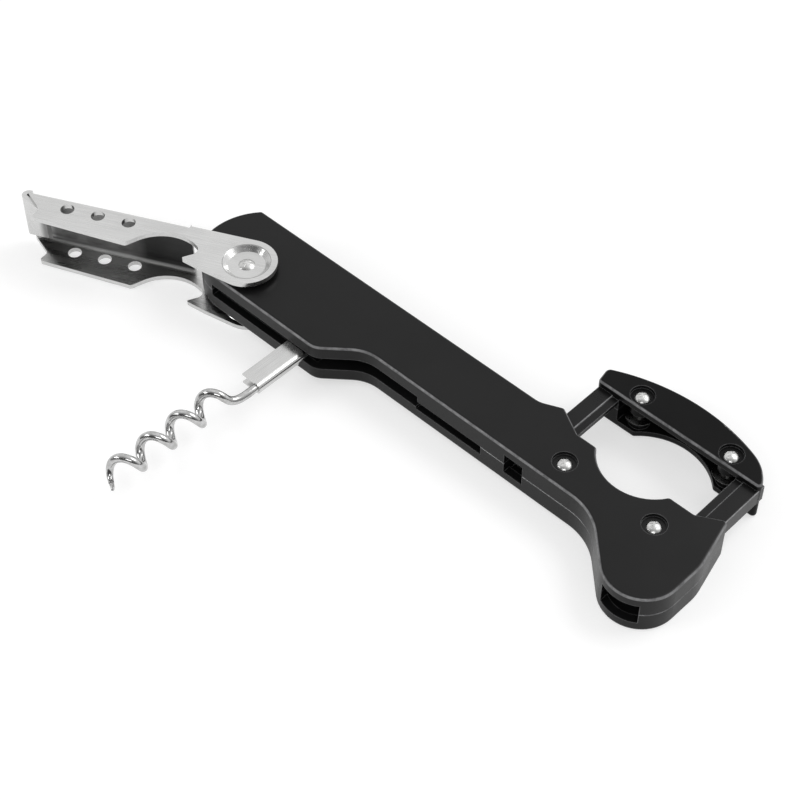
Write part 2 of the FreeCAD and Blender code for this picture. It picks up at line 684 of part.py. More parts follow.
def shell(name, notch, zone, low, height, outer, window, upper):
    """One half of the handle with everything inside it."""
    body = slab(name, belt(handle_outline(notch)), low, height, outer, size.parting)
    hollow_y = ("channel_back_y + wall", "far_edge_y - wall")
    prism(body, "Subtractive", name + "_hollows", zone, rectangles=[
        (("channel_left_x", "shoulder_x - wall / 2"), ("head_near_y + wall", "channel_back_y")),
        (("hollow_left_x", "hollow_split_x - wall / 2"), hollow_y),
        (("hollow_split_x + wall / 2", "hollow_right_x"), hollow_y),
    ], outlines=[belt(lobe_hollow())])
    prism(body, "Subtractive", name + "_slot", SLOT_TOP if upper else SLOT_LOW, rectangles=[
        (("channel_left_x", "groove_left_x"), ("head_near_y - 2", "channel_back_y"))])
    prism(body, "Additive", name + "_seats", zone, rectangles=[
        (sideways(side, "guide_inner + 0.9", "rail_outer + 3.2"), ("seat_y", "seat_face_y"))
        for side in SIDES])
    prism(body, "Subtractive", name + "_windows", window, rectangles=[
        (("square_window_left", "square_window_right"),
         ("neck_near_y - 2", "neck_near_y + wall + 0.1")),
        (("lobe_window_left", "lobe_window_right"),
         ("lobe_y - lobe_radius - 2", "lobe_y - lobe_radius / 2")),
    ])
    prism(body, "Additive", name + "_column", zone,
          circles=[("lever_pivot_x", "0", "rivet_boss_radius")])
    if upper:
        boss = ("parting + shank_half + worm_boss_air", "roof")
        blind = ("parting", "roof + worm_pin_inset")
    else:
        boss = ("plate", "parting - shank_half - worm_boss_air")
        blind = ("plate - worm_pin_inset", "parting + 1")
    prism(body, "Additive", name + "_worm_boss", boss, circles=[("0", "0", "worm_boss_radius")])
    prism(body, "Subtractive", name + "_worm_bore", blind, circles=[("0", "0", "pin_radius + fit")])
    return body


LEVER_BORE = ("lever_pivot_x", "0", "rivet_radius + fit")
upper_shell = shell("upper_shell", (size.cutter_x, size.top_notch_y, size.top_notch_radius), TOP,
                    "parting", "body_height - parting", size.body_height,
                    ("parting - 1", "window_high"), True)
wheel_mounts(upper_shell, "ab", True, [LEVER_BORE])

lower_shell = shell("lower_shell", (size.cutter_x, size.cutter_y, size.bottom_notch_radius), LOW,
                    "0", "parting", 0.0, ("window_low", "parting + 1"), False)
prism(lower_shell, "Additive", "lower_shell_guides", ("plate", "lip_low - running_fit"),
      rectangles=[(sideways(side, "guide_inner", "guide_inner + guide_width"),
                   ("guide_y", "ledge_y - 0.1")) for side in SIDES])
prism(lower_shell, "Additive", "lower_shell_tracks", ("plate", "rail_low - running_fit"),
      rectangles=[(sideways(side, "guide_inner", "rail_outer + 1"),
                   ("rail_end_y + stop_length + running_fit", "ledge_y - 0.1"))
                  for side in SIDES])
prism(lower_shell, "Subtractive", "lower_shell_groove", ("parting - groove_depth", "parting"),
      rectangles=[(("groove_left_x - bite", "groove_right_x"), ("neck_near_y - 2", "channel_back_y"))])
wheel_mounts(lower_shell, "ab", False, [LEVER_BORE])

# ---------------------------------------------------------------- jaw covers


def cover(name, zone, low, height, outer, notched, rail_floor):
    """One half of the jaw with its hollows and the seats of the rails."""
    body = slab(name, belt(jaw_outline(notched)), low, height, outer, size.parting)
    spots = [WHEELS[tag] for tag in "cd"]
    room = "wheel_radius + wheel_room"
    front = "jaw_front_y - 2"
    prism(body, "Subtractive", name + "_hollow", zone, outlines=[belt(jaw_hollow())])
    prism(body, "Subtractive", name + "_rooms", zone, circles=[(x, y, room) for x, y in spots])
    prism(body, "Subtractive", name + "_mouths", zone, rectangles=[
        (("%s - ( %s )" % (x, room), "%s + %s" % (x, room)), (front, y)) for x, y in spots])
    prism(body, "Subtractive", name + "_slots", (rail_floor, zone[1]), rectangles=[
        (sideways(side, "rail_inner - fit", "rail_outer + fit"),
         (front, "foot_y + foot_length / 2 + fit"))
        for side in SIDES])
    prism(body, "Subtractive", name + "_feet", (rail_floor, zone[1]), rectangles=[
        (sideways(side, "foot_inner - fit", "foot_outer + fit"),
         ("foot_y - fit", "foot_y + foot_length + fit")) for side in SIDES])
    return body


jaw_upper = cover("jaw_upper_cover", TOP, "parting", "body_height - parting", size.body_height,
                  False, "parting")
wheel_mounts(jaw_upper, "cd", True)
jaw_lower = cover("jaw_lower_cover", LOW, "0", "parting", 0.0, True, "rail_low - fit")
wheel_mounts(jaw_lower, "cd", False)

# ---------------------------------------------------------------- rails and springs

for name, side in (("left_rail", -1), ("right_rail", 1)):
    rail = new_body(name)
    bar = side_box(rail, "Additive", name + "_bar", side, ("rail_inner", "rail_outer"),
                   ("rail_end_y", "foot_y + foot_length / 2"), ("rail_low", "rail_high"))
    doc.recompute()
    long_edges = []
    for number, edge in enumerate(bar.Shape.Edges):
        if edge.BoundBox.YLength > size.rail_outer - size.rail_inner:
            long_edges.append("Edge%d" % (number + 1))
    dress(rail, "Fillet", name + "_edges", bar, long_edges, "rail_edge")
    side_box(rail, "Additive", name + "_foot", side, ("foot_inner", "foot_outer"),
             ("foot_y", "foot_y + foot_length"), ("rail_low", "rail_high"))
    side_box(rail, "Additive", name + "_lip", side, ("rail_inner - lip_width", "rail_inner + bite"),
             ("lip_end_y", "jaw_front_y"), ("lip_low", "lip_high"))
    side_box(rail, "Additive", name + "_stop", side,
             ("rail_inner + stop_inset", "rail_outer - stop_inset"),
             ("rail_end_y", "rail_end_y + stop_length"), ("stop_low", "rail_low + bite"))
    cylinder(rail, "Subtractive", name + "_bore",
             ("cutter_x + %d * bore_side" % side, "bore_level", "0 - bore_end_y"),
             "bore_radius", "bore_end_y - rail_end_y + 1", "XZ_Plane")

for name, side in (("left_spring", -1), ("right_spring", 1)):
    coil_radius = size.spring_radius - size.spring_wire
    length = size.bore_end_y - size.seat_face_y - 2 * size.spring_wire - 2 * size.fit
    coil = Part.makeHelix(length / size.spring_turns, length, coil_radius)
    start = V(coil_radius, 0, 0)
    ring = Part.Wire([Part.makeCircle(size.spring_wire, start, V(0, 1, 0))])
    spring = doc.addObject("Part::Feature", name)
    spring.Label = name
    spring.Shape = Part.Wire(coil.Edges).makePipeShell([ring], True, True)
    across = size.cutter_x + side * size.bore_side
    spring.Placement = FreeCAD.Placement(
        V(across, size.seat_face_y + size.spring_wire + size.fit, size.bore_level),
        FreeCAD.Rotation(V(1, 0, 0), -90))

# ---------------------------------------------------------------- cutting wheels and pins

for tag in "abcd":
    x, y = WHEELS[tag]
    wheel = new_body("cutting_wheel_" + tag)
    bore = size.pin_radius + size.running_fit
    hub = size.wheel_hub_height / 2
    disc = size.wheel_disc / 2
    bevel = size.wheel_radius - 2 * size.wheel_disc
    revolve(wheel, "wheel_turned_" + tag, polygon([
        (bore, -hub), (size.wheel_hub_radius, -hub), (size.wheel_hub_radius, -disc),
        (bevel, -disc), (size.wheel_radius, -0.03), (size.wheel_radius, 0.03),
        (bevel, disc), (size.wheel_hub_radius, disc), (size.wheel_hub_radius, hub),
        (bore, hub)]))
    wheel.setExpression("Placement.Base.x", ref(x))
    wheel.setExpression("Placement.Base.y", ref(y))
    wheel.setExpression("Placement.Base.z", ref("wheel_level"))
    rivet("wheel_pin_" + tag, x, y, size.pin_radius, size.pin_head_radius, size.pin_head_height,
          size.counterbore_depth, size.counterbore_level)

rivet("lever_rivet", "lever_pivot_x", "0", size.rivet_radius, size.rivet_head_radius,
      size.rivet_head_height, -size.dish_air - size.sheet_metal,
      size.body_height + size.dish_air + size.sheet_metal)

worm_pin = new_body("worm_pin")
column(worm_pin, "Additive", "worm_pin_rod", "0", "0", "plate - worm_pin_inset + fit",
       "roof + worm_pin_inset - fit", "pin_radius")

# ---------------------------------------------------------------- lever
# Drawn in its own frame: u from the pivot to the far end, v to the open side, and the web at
# negative v.

lever = new_body("lever")
far_tip = (size.lever_length, size.tip_land - size.web_back)
notch_bottom = (size.notch_u, size.notch_v)
near_tip = (size.near_tip_u, size.near_tip_v)
throat_turn = math.radians(size.throat_angle)
throat_reach = size.arch_radius - size.throat_radius
throat = (size.arch_u + throat_reach * math.cos(throat_turn),
          size.arch_v + throat_reach * math.sin(throat_turn))
hook = (size.hook_u, size.hook_v)
cheek = belt([
    (0, 0, size.ear_radius),
    (size.web_start - size.web_jog, -size.ear_radius, 0),
    (size.web_start + size.web_jog, -size.web_back, 0),
    (size.lever_length, -size.web_back, 0),
    (far_tip[0], far_tip[1], 0),
    corner(far_tip, notch_bottom, near_tip, 1.2),
    corner(notch_bottom, near_tip, (size.arch_start_u, size.near_edge), 0.8),
    (size.arch_start_u, size.near_edge - size.corner_radius, size.corner_radius),
    (size.arch_u, size.arch_v, -size.arch_radius),
    (throat[0], throat[1], -size.throat_radius),
    corner((throat[0] - size.throat_radius, throat[1] + size.throat_radius / 2), hook,
           (size.jowl_u, size.jowl_v + size.jowl_radius), 0.3),
    (size.jowl_u, size.jowl_v, size.jowl_radius),
])
pad(lever, "lever_block", cheek, "lever_low", "lever_high - lever_low")
web_length = "lever_length - web_start + 5"
for name, level, up in (("top", size.lever_high, 1), ("low", size.lever_low, -1)):
    outside = corner((-size.web_back, level - up * 9), (-size.web_back, level),
                     (0, level), size.bend_radius)
    pocket(lever, "lever_bend_" + name, belt([
        (-size.web_back - 1, level - up * size.bend_radius, 0),
        (-size.web_back, level - up * size.bend_radius, 0),
        (outside[0], outside[1], outside[2]),
        (outside[0], level + up, 0),
        (-size.web_back - 1, level + up, 0),
    ]), "web_start", web_length, "YZ_Plane")
inner = size.inner_bend
pocket(lever, "lever_gap", belt([
    (inner - size.web_inner, size.lever_bottom + inner, inner),
    (size.near_edge + 5, size.lever_bottom, 0),
    (size.near_edge + 5, size.lever_top, 0),
    (inner - size.web_inner, size.lever_top - inner, inner),
]), "web_start", web_length, "YZ_Plane")
box(lever, "Subtractive", "lever_mouth", ("-ear_radius - 5", "web_start"),
    ("-web_back - 5", "near_edge + 15"), ("lever_bottom", "lever_top"))
for number in range(3):
    column(lever, "Subtractive", "lever_hole_%d" % number, "hole_first_u + %d * hole_pitch" % number,
           "hole_v", "lever_low - 1", "lever_high + 1", "hole_radius")

inner_dish = "dish_radius + bite"
flat = "dish_radius - dish_slope"
cone(lever, "Additive", "dish_top", flat + " + bite", inner_dish, "lever_top - dish_press",
     "lever_top")
cone(lever, "Subtractive", "dish_top_sunk", flat, "dish_radius", "lever_high - dish_press",
     "lever_high")
cone(lever, "Additive", "dish_low", inner_dish, flat + " + bite", "lever_bottom",
     "lever_bottom + dish_press")
cone(lever, "Subtractive", "dish_low_sunk", "dish_radius", flat, "lever_low",
     "lever_low + dish_press")
column(lever, "Subtractive", "lever_eye", "0", "0", "lever_low - 1", "lever_high + 1",
       "rivet_radius + running_fit")

turn = math.radians(size.fold_angle)
out = (math.sin(turn), -math.cos(turn))
bend_v = size.fold_inner_radius - size.web_inner
outer_fold = size.fold_inner_radius + size.sheet_metal
end_u = size.lever_length + size.fold_length * math.cos(turn)
end_v = bend_v + size.fold_length * math.sin(turn)
foot = belt([
    (size.lever_length - size.bite, -size.web_back, 0),
    (size.lever_length, bend_v, outer_fold),
    (end_u + outer_fold * out[0], end_v + outer_fold * out[1], 0),
    (end_u + size.fold_inner_radius * out[0], end_v + size.fold_inner_radius * out[1], 0),
    (size.lever_length, bend_v, -size.fold_inner_radius),
    (size.lever_length - size.bite, -size.web_inner, 0),
])
pad(lever, "lever_foot", foot, "lever_low + fold_rise",
    "lever_high - lever_low - fold_rise - fold_drop")
foot_low = size.lever_low + size.fold_rise
foot_root = bend_v + outer_fold * out[1]
foot_tip = end_v + outer_fold * out[1]
pocket(lever, "lever_foot_taper", polygon([
    (foot_root, foot_low), (foot_root, foot_low - size.bite), (foot_tip + 1, foot_low - size.bite),
    (foot_tip + 1, foot_low + size.fold_taper), (foot_tip, foot_low + size.fold_taper),
]), "lever_length - fold_length", "fold_length + 5", "YZ_Plane")
lever.setExpression("Placement", (
    "create(<<placement>>; create(<<vector>>; Sizes.lever_pivot_x; 0; 0); "
    "create(<<rotation>>; create(<<vector>>; 0; 0; 1); 180 + Sizes.lever_angle))"))

# ---------------------------------------------------------------- worm

shank = new_body("worm_shank")
plan = belt([
    (size.shank_left_x, size.shank_end_y, 0),
    (size.shank_right_x, size.shank_end_y, 0),
    (size.shank_right_x - size.shank_corner, size.shank_top_y - size.shank_corner,
     size.shank_corner),
    (size.shank_left_x + size.shank_corner, size.shank_top_y - size.shank_corner,
     size.shank_corner),
])
pad(shank, "shank_block", plan, "parting - shank_half", "2 * shank_half")
rim = (size.wire_x, size.parting + size.shank_half)
foot_rim = (size.wire_x, size.parting - size.shank_half)
beyond = size.shank_right_x + 1
outside = chain([rim, (rim[0], rim[1] + 1), (beyond, rim[1] + 1), (beyond, foot_rim[1] - 1),
                 (foot_rim[0], foot_rim[1] - 1), foot_rim])
outside.append(Part.Arc(V(*foot_rim, 0), V(size.shank_right_x, size.parting, 0), V(*rim, 0)))
pocket(shank, "shank_fold", outside, "0 - shank_top_y - 1", "shank_top_y - shank_end_y + 2",
       "XZ_Plane")
box(shank, "Subtractive", "shank_slot", ("shank_left_x - 1", "wire_x"),
    ("shank_end_y - 1", "shank_top_y + 1"), ("parting - slot_half", "parting + slot_half"))
cylinder(shank, "Subtractive", "shank_bore", ("wire_x", "parting", "0 - shank_top_y - 1"),
         "slot_half", "shank_top_y - shank_end_y + 2", "XZ_Plane")
column(shank, "Subtractive", "shank_eye", "0", "0", "parting - 5", "parting + 5",
       "pin_radius + running_fit")


def helix_point(turns):
    angle = 2 * math.pi * turns
    return V(size.worm_axis_x - size.worm_radius * math.sin(angle),
             size.worm_crest_y - size.worm_pitch * turns,
             size.parting + size.worm_radius * math.cos(angle))


def helix_heading(turns):
    angle = 2 * math.pi * turns
    heading = V(-size.worm_radius * math.cos(angle), -size.worm_pitch / (2 * math.pi),
                -size.worm_radius * math.sin(angle))
    return heading.normalize()


def blend(start, start_heading, end, end_heading, pull, steps):
    """Points of a smooth curve between two ends with given headings."""
    points = []
    for step in range(1, steps):
        f = step / float(steps)
        rise = f * f * (3 - 2 * f)
        lead = f * (1 - f) * (1 - f) * pull
        tail = -f * f * (1 - f) * pull
        points.append(start * (1 - rise) + end * rise + start_heading * lead + end_heading * tail)
    return points


first_turn = -1.0 / 6
straight_start = V(size.wire_x, size.wire_start_y, size.parting)
straight_end = V(size.wire_x, size.shank_end_y - size.wire_lead, size.parting)
path = [straight_start + (straight_end - straight_start) * (i / 8.0) for i in range(9)]
helix_start = helix_point(first_turn)
bend_pull = 1.2 * straight_end.distanceToPoint(helix_start)
path += blend(straight_end, V(0, -1, 0), helix_start, helix_heading(first_turn), bend_pull, 8)
last_turn = size.worm_turns - size.point_turns
steps = int(round((last_turn - first_turn) * 16))
for step in range(steps + 1):
    path.append(helix_point(first_turn + (last_turn - first_turn) * step / float(steps)))
centre_line = Part.BSplineCurve()
centre_line.interpolate(path)
sweep = Part.BRepOffsetAPI.MakePipeShell(Part.Wire([centre_line.toShape()]))
sweep.add(Part.Wire([Part.makeCircle(size.wire_radius, straight_start, V(0, -1, 0))]))
sweep.build()
sweep.makeSolid()
rings = []
for step in range(13):
    f = step / 12.0
    turns = last_turn + size.point_turns * f
    radius = size.wire_radius + (size.point_radius - size.wire_radius) * f ** 1.6
    rings.append(Part.Wire([Part.makeCircle(radius, helix_point(turns), helix_heading(turns))]))
point = Part.makeLoft(rings, True, False)
wire = doc.addObject("Part::Feature", "worm_wire")
wire.Label = "worm_wire"
wire.Shape = sweep.shape().fuse(point).Solids[0]
wire.Placement = FreeCAD.Placement()

# ---------------------------------------------------------------- export

doc.recompute()
NODES = [
    "upper_shell", "lower_shell", "lever_rivet", "worm_pin", "wheel_pin_a", "wheel_pin_b",
    "left_spring", "right_spring", "jaw_upper_cover", "jaw_lower_cover", "left_rail",
    "right_rail", "wheel_pin_c", "wheel_pin_d", "cutting_wheel_a", "cutting_wheel_b",
    "cutting_wheel_c", "cutting_wheel_d", "lever", "worm_shank", "worm_wire",
]
for item in doc.Objects:
    if "Invalid" in item.State or "Error" in item.State:
        raise ValueError("broken feature " + item.Name)
os.makedirs("parts", exist_ok=True)
for name in NODES:
    shape = doc.getObjectsByLabel(name)[0].Shape
    if shape.isNull() or not shape.isValid() or len(shape.Solids) != 1:
        raise ValueError("bad shape " + name)
    shape.exportStep("parts/%s.step" % name)
    print(name, round(shape.Volume, 1), shape.BoundBox)
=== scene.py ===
import math

import bpy
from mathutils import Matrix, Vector


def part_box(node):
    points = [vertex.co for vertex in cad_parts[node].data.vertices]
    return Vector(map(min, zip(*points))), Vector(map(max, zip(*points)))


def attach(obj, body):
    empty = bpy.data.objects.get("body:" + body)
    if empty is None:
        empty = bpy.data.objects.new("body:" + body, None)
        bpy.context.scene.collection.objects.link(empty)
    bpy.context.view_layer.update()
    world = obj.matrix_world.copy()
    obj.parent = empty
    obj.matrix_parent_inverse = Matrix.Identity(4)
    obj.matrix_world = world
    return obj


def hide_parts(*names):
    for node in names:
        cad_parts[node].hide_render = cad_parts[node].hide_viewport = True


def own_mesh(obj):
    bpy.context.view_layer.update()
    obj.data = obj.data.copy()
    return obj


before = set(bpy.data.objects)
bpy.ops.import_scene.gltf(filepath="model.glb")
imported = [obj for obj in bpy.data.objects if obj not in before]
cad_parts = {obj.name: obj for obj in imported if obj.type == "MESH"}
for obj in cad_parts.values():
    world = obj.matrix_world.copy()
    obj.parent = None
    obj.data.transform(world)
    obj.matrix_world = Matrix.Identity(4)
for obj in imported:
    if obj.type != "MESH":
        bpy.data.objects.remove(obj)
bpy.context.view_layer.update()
MM = 0.001

# The lever at rest. Places along it are measured from its pivot.
LEVER_TURN = math.radians(26.5)
LEVER_PIVOT = (-26.0 * MM, 0.0, 0.0)
INTO_LEVER = (math.sin(LEVER_TURN), -math.cos(LEVER_TURN), 0.0)
INSIDE_LOW, INSIDE_HIGH = -1.3 * MM, 12.8 * MM
# Where the painted shade inside the lever begins along it, and where it is full.
PAINTED_SHADE_START, PAINTED_SHADE_FULL = 12.0 * MM, 34.0 * MM
ARCH_END, HOLES_START = 31.0 * MM, 36.0 * MM
FOOT_START, FOOT_END = 56.5 * MM, 59.5 * MM
PRESSED_RADIUS, PRESSED_WIDTH = 6.1 * MM, 0.3 * MM

# ---------------------------------------------------------------------------------------------
# Finishes: every material is a small node tree that ends in one Principled shader
# ---------------------------------------------------------------------------------------------


class Finish:
    """One node material. Its methods add nodes and return the socket that the next node reads."""

    def __init__(self, name, colour, roughness, metallic=0.0, specular=0.5):
        self.material = bpy.data.materials.new(name)
        self.material.use_nodes = True
        self.tree = self.material.node_tree
        self.shader = self.tree.nodes["Principled BSDF"]
        self.shader.inputs["Base Color"].default_value = (*colour, 1.0)
        self.shader.inputs["Roughness"].default_value = roughness
        self.shader.inputs["Metallic"].default_value = metallic
        self.shader.inputs["Specular IOR Level"].default_value = specular
        self.place = self.tree.nodes.new("ShaderNodeTexCoord").outputs["Object"]
        self.own_facing = self.tree.nodes.new("ShaderNodeTexCoord").outputs["Normal"]
        self.facing = self.tree.nodes.new("ShaderNodeNewGeometry").outputs["Normal"]
        self.bump = None

    def feed(self, socket, value):
        """Links a socket to an input, or writes a number to it."""
        if isinstance(value, bpy.types.NodeSocket):
            self.tree.links.new(value, socket)
        else:
            socket.default_value = value

    def math(self, operation, first, second=0.0, clamp=False):
        node = self.tree.nodes.new("ShaderNodeMath")
        node.operation = operation
        node.use_clamp = clamp
        self.feed(node.inputs[0], first)
        self.feed(node.inputs[1], second)
        return node.outputs[0]

    def spread(self, value, low, high, to_low=0.0, to_high=1.0, smooth=False):
        """value between low and high, turned into a number between to_low and to_high."""
        node = self.tree.nodes.new("ShaderNodeMapRange")
        node.interpolation_type = "SMOOTHSTEP" if smooth else "LINEAR"
        node.clamp = True
        self.feed(node.inputs["Value"], value)
        node.inputs["From Min"].default_value = low
        node.inputs["From Max"].default_value = high
        node.inputs["To Min"].default_value = to_low
        node.inputs["To Max"].default_value = to_high
        return node.outputs["Result"]

    def mapped(self, turn=0.0, stretch=(1.0, 1.0, 1.0), centre=(0.0, 0.0, 0.0)):
        """Object coordinates about a centre, turned about Z by -turn and then stretched."""
        moved = self.tree.nodes.new("ShaderNodeVectorMath")
        moved.operation = "SUBTRACT"
        self.feed(moved.inputs[0], self.place)
        moved.inputs[1].default_value = centre
        turned = self.tree.nodes.new("ShaderNodeVectorRotate")
        turned.rotation_type = "Z_AXIS"
        self.feed(turned.inputs["Vector"], moved.outputs[0])
        turned.inputs["Angle"].default_value = -turn
        scaled = self.tree.nodes.new("ShaderNodeVectorMath")
        scaled.operation = "MULTIPLY"
        self.feed(scaled.inputs[0], turned.outputs[0])
        scaled.inputs[1].default_value = stretch
        return scaled.outputs[0]

    def noise(self, scale, detail=2.0, roughness=0.5, where=None):
        node = self.tree.nodes.new("ShaderNodeTexNoise")
        self.feed(node.inputs["Vector"], self.place if where is None else where)
        node.inputs["Scale"].default_value = scale
        node.inputs["Detail"].default_value = detail
        node.inputs["Roughness"].default_value = roughness
        return node.outputs["Fac"]

    def cells(self, scale):
        """The distance to the middle of the nearest cell of an uneven pattern."""
        node = self.tree.nodes.new("ShaderNodeTexVoronoi")
        self.feed(node.inputs["Vector"], self.place)
        node.inputs["Scale"].default_value = scale
        return node.outputs["Distance"]

    def parts(self, vector):
        """A vector's x, y and z as three sockets."""
        node = self.tree.nodes.new("ShaderNodeSeparateXYZ")
        self.feed(node.inputs[0], vector)
        return node.outputs

    def rounding(self):
        """1 on the rounded edges between flat faces and upright walls, and 0 on both."""
        up = self.math("ABSOLUTE", self.parts(self.facing)[2])
        rest = self.math("SUBTRACT", 1.0, up)
        return self.spread(self.math("MULTIPLY", up, rest), 0.03, 0.2, smooth=True)

    def corners(self, radius):
        """1 on sharp edges that radius would round, and 0 away from them."""
        node = self.tree.nodes.new("ShaderNodeBevel")
        node.samples = 4
        node.inputs["Radius"].default_value = radius
        apart = self.tree.nodes.new("ShaderNodeVectorMath")
        apart.operation = "DOT_PRODUCT"
        self.tree.links.new(node.outputs[0], apart.inputs[0])
        self.tree.links.new(self.facing, apart.inputs[1])
        return self.spread(apart.outputs["Value"], 0.995, 0.90, smooth=True)

    def toward(self, way):
        """How far the surface faces a direction of its own body: 1 when it looks straight along it."""
        node = self.tree.nodes.new("ShaderNodeVectorMath")
        node.operation = "DOT_PRODUCT"
        self.tree.links.new(self.own_facing, node.inputs[0])
        node.inputs[1].default_value = way
        return node.outputs["Value"]

    def ring(self, centre, radius, width):
        """1 on a circle about an upright axis, fading to 0 at half the width on both sides."""
        across = self.parts(self.mapped(0.0, (1.0, 1.0, 0.0), (centre[0], centre[1], 0.0)))
        square = self.math("ADD", self.math("POWER", across[0], 2.0), self.math("POWER", across[1], 2.0))
        off = self.math("ABSOLUTE", self.math("SUBTRACT", self.math("SQRT", square), radius))
        return self.spread(off, width / 2, 0.0, smooth=True)

    def scratches(self, turn, length, width, amount):
        """Thin straight marks along one direction: 1 in a mark and 0 beside it."""
        lines = self.noise(1.0, 0.0, where=self.mapped(turn, (1 / length, 1 / width, 1 / width)))
        return self.spread(lines, 1.0 - amount, 1.06 - amount)

    def tint(self, factor, low, high):
        """The base colour goes from low to high as factor goes from 0 to 1."""
        node = self.tree.nodes.new("ShaderNodeMix")
        node.data_type = "RGBA"
        self.feed(node.inputs["Factor"], factor)
        node.inputs["A"].default_value = (*low, 1.0)
        node.inputs["B"].default_value = (*high, 1.0)
        self.feed(self.shader.inputs["Base Color"], node.outputs["Result"])

    def dull(self, roughness):
        self.feed(self.shader.inputs["Roughness"], roughness)

    def relief(self, height, depth, strength=1.0):
        """Adds a bump of that depth in metres on top of the ones before it."""
        node = self.tree.nodes.new("ShaderNodeBump")
        node.inputs["Strength"].default_value = strength
        node.inputs["Distance"].default_value = depth
        self.feed(node.inputs["Height"], height)
        if self.bump is not None:
            self.tree.links.new(self.bump, node.inputs["Normal"])
        self.bump = node.outputs["Normal"]
        self.feed(self.shader.inputs["Normal"], self.bump)


def moulded_plastic(name, grain, sheen_level, base=0.0045, specular=0.20, edge_highlight_level=0.24):
    """Black ABS from a spark-eroded mould: fine grain, polished edges with a painted highlight that is
    patchy like wear, faint handling marks.
    """
    finish = Finish(name, (base, base, base), 0.4, specular=specular)
    sharp = finish.math("MULTIPLY", finish.corners(0.35 * MM), 0.5)
    edge = finish.math("MAXIMUM", finish.rounding(), sharp)
    cloud = finish.noise(55.0, 3.0, 0.6)
    fine = finish.noise(1 / grain, 2.0, 0.55)
    pits = finish.cells(0.6 / grain)
    rub = finish.scratches(0.32, 14 * MM, 0.22 * MM, 0.30)
    # Painted highlight: the rounded and sharp edges are lightened in the base colour, in patches like wear.
    wear_and_edge_highlight = finish.math("MULTIPLY", edge, finish.spread(finish.noise(420.0, 4.0, 0.7), 0.35, 0.62))
    painted_edge_highlight = finish.math("ADD", finish.math("MULTIPLY", edge, 0.50), finish.math("MULTIPLY", wear_and_edge_highlight, 0.5))
    # The base colour's factor: faint random tone plus the painted edge highlight.
    shade = finish.math("ADD", finish.math("MULTIPLY", cloud, 0.02), painted_edge_highlight)
    finish.tint(shade, (base * 0.8, base * 0.8, base * 0.82), (edge_highlight_level, edge_highlight_level, edge_highlight_level * 1.02))
    body = finish.spread(cloud, 0.3, 0.7, sheen_level, sheen_level + 0.09)
    marked = finish.math("ADD", body, finish.math("MULTIPLY", rub, 0.05))
    polished = finish.math("MULTIPLY", edge, 0.18)
    speckle = finish.spread(fine, 0.3, 0.7, -0.03, 0.03)
    finish.dull(finish.math("ADD", finish.math("SUBTRACT", marked, polished), speckle, clamp=True))
    finish.relief(fine, 0.010 * MM, 0.55)
    finish.relief(pits, 0.008 * MM, 0.35)
    return finish.material


def inside_of_lever(finish, tone, rough):
    """Darker and duller between the lever's cheeks, most of all on its web: painted shade, in patches. A
    pressed ring outside, with a painted dark line in it.
    """
    height = finish.parts(finish.place)[2]
    above = finish.spread(height, INSIDE_LOW - 0.05 * MM, INSIDE_LOW + 0.25 * MM, smooth=True)
    below = finish.spread(height, INSIDE_HIGH + 0.05 * MM, INSIDE_HIGH - 0.25 * MM, smooth=True)
    along = finish.parts(finish.mapped(LEVER_TURN + math.pi, centre=LEVER_PIVOT))[0]
    before_foot = finish.spread(along, FOOT_END, FOOT_START, smooth=True)
    into = finish.toward(INTO_LEVER)
    shaded = finish.math("MULTIPLY", finish.math("MULTIPLY", above, below), before_foot)
    shaded = finish.math("MULTIPLY", shaded, finish.spread(into, -0.8, -0.3))
    # Painted shade between the cheeks, in patches, growing along the lever.
    patches = finish.spread(finish.noise(190.0, 2.0, 0.5), 0.36, 0.64, 0.0, 0.45, smooth=True)
    painted_shade = finish.math("MULTIPLY", patches, finish.spread(along, PAINTED_SHADE_START, PAINTED_SHADE_FULL))
    # Painted shade on the web's inner face, less where the holes start.
    shade_on_web = finish.spread(into, 0.3, 0.8, 0.0, 0.95)
    shade_on_web = finish.math("MULTIPLY", shade_on_web, finish.spread(along, ARCH_END, HOLES_START, 1.0, 0.70))
    painted_shade = finish.math("MAXIMUM", painted_shade, shade_on_web)
    kept = finish.math("SUBTRACT", 1.0, finish.math("MULTIPLY", shaded, painted_shade))
    pressed = finish.ring(LEVER_PIVOT, PRESSED_RADIUS, PRESSED_WIDTH)
    # The pressed ring is also painted darker, as the shade on its shoulder.
    painted_ring_shade = finish.math("SUBTRACT", 1.0, finish.math("MULTIPLY", pressed, 0.6))
    finish.relief(pressed, -0.06 * MM, 0.8)
    tone = finish.math("MULTIPLY", finish.math("MULTIPLY", tone, kept), painted_ring_shade)
    return tone, finish.math("ADD", rough, finish.math("MULTIPLY", shaded, 0.22))


